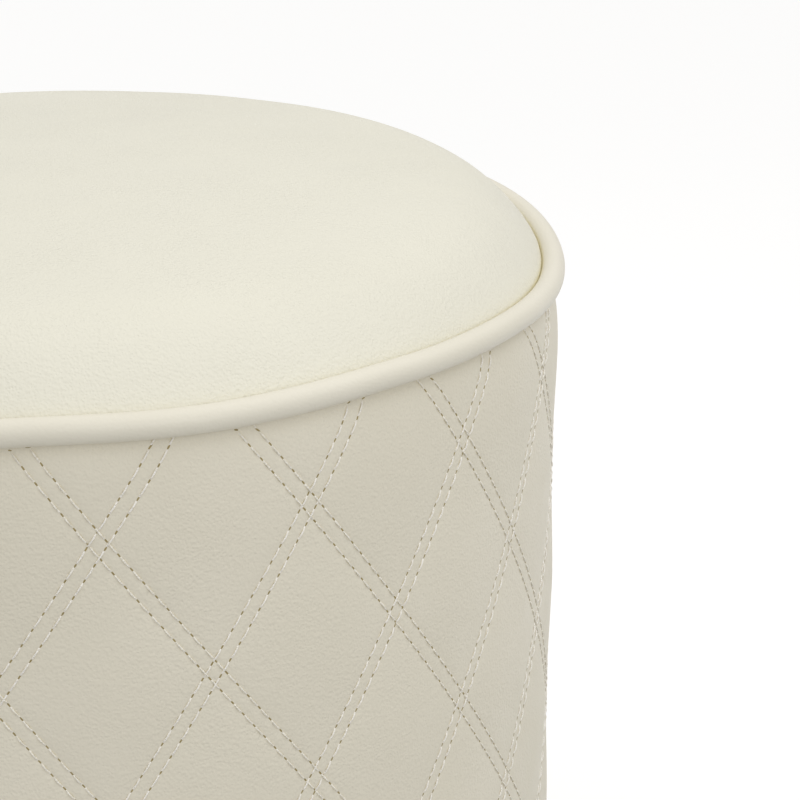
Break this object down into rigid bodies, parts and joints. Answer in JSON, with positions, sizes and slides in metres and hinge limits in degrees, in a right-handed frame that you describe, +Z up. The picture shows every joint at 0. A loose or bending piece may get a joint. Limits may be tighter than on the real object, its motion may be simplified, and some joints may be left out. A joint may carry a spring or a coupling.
{
  "type": "round pouf",
  "caption": "Round drum pouf in ivory leather: gently crowned fixed top, piped seam, diamond-quilted side, framed inside, on low feet.",
  "frame": {"origin": "on the floor, under the middle of the seat", "axes": "+Z up along the drum's axis; +Y towards the back, where the side cover is closed; -Y is the front"},
  "size_m": [0.4091, 0.4092, 0.43],
  "materials": {
    "board": "matte",
    "pine": "matte",
    "hardboard": "matte",
    "leather": "satin",
    "cord": "matte",
    "foam": "matte",
    "wadding": "matte",
    "backing_cloth": "matte",
    "dust_cloth": "matte",
    "foot_plastic": "matte",
    "felt": "matte",
    "screw_steel": "satin",
    "staple_steel": "satin"
  },
  "bodies": {
    "root": {"base_board": "board", "top_board": "board", "post_1": "pine", "post_2": "pine", "post_3": "pine", "post_4": "pine", "post_5": "pine", "post_6": "pine", "wall_sheet": "hardboard", "top_cover": "leather", "side_cover": "leather", "piping_sleeve": "leather", "piping_cord": "cord", "seat_foam": "foam", "quilt_foam": "foam", "seat_wadding": "wadding", "quilt_backing": "backing_cloth", "dust_cover": "dust_cloth", "foot_1": "foot_plastic", "foot_2": "foot_plastic", "foot_3": "foot_plastic", "foot_4": "foot_plastic", "foot_pad_1": "felt", "foot_pad_2": "felt", "foot_pad_3": "felt", "foot_pad_4": "felt", "base_post_screws": "screw_steel", "top_post_screws": "screw_steel", "foot_screws": "screw_steel", "wall_staples_base": "staple_steel", "wall_staples_lower": "staple_steel", "wall_staples_upper": "staple_steel", "wall_staples_top": "staple_steel", "hem_staples": "staple_steel", "dust_cover_staples": "staple_steel"}
  },
  "joints": []
}
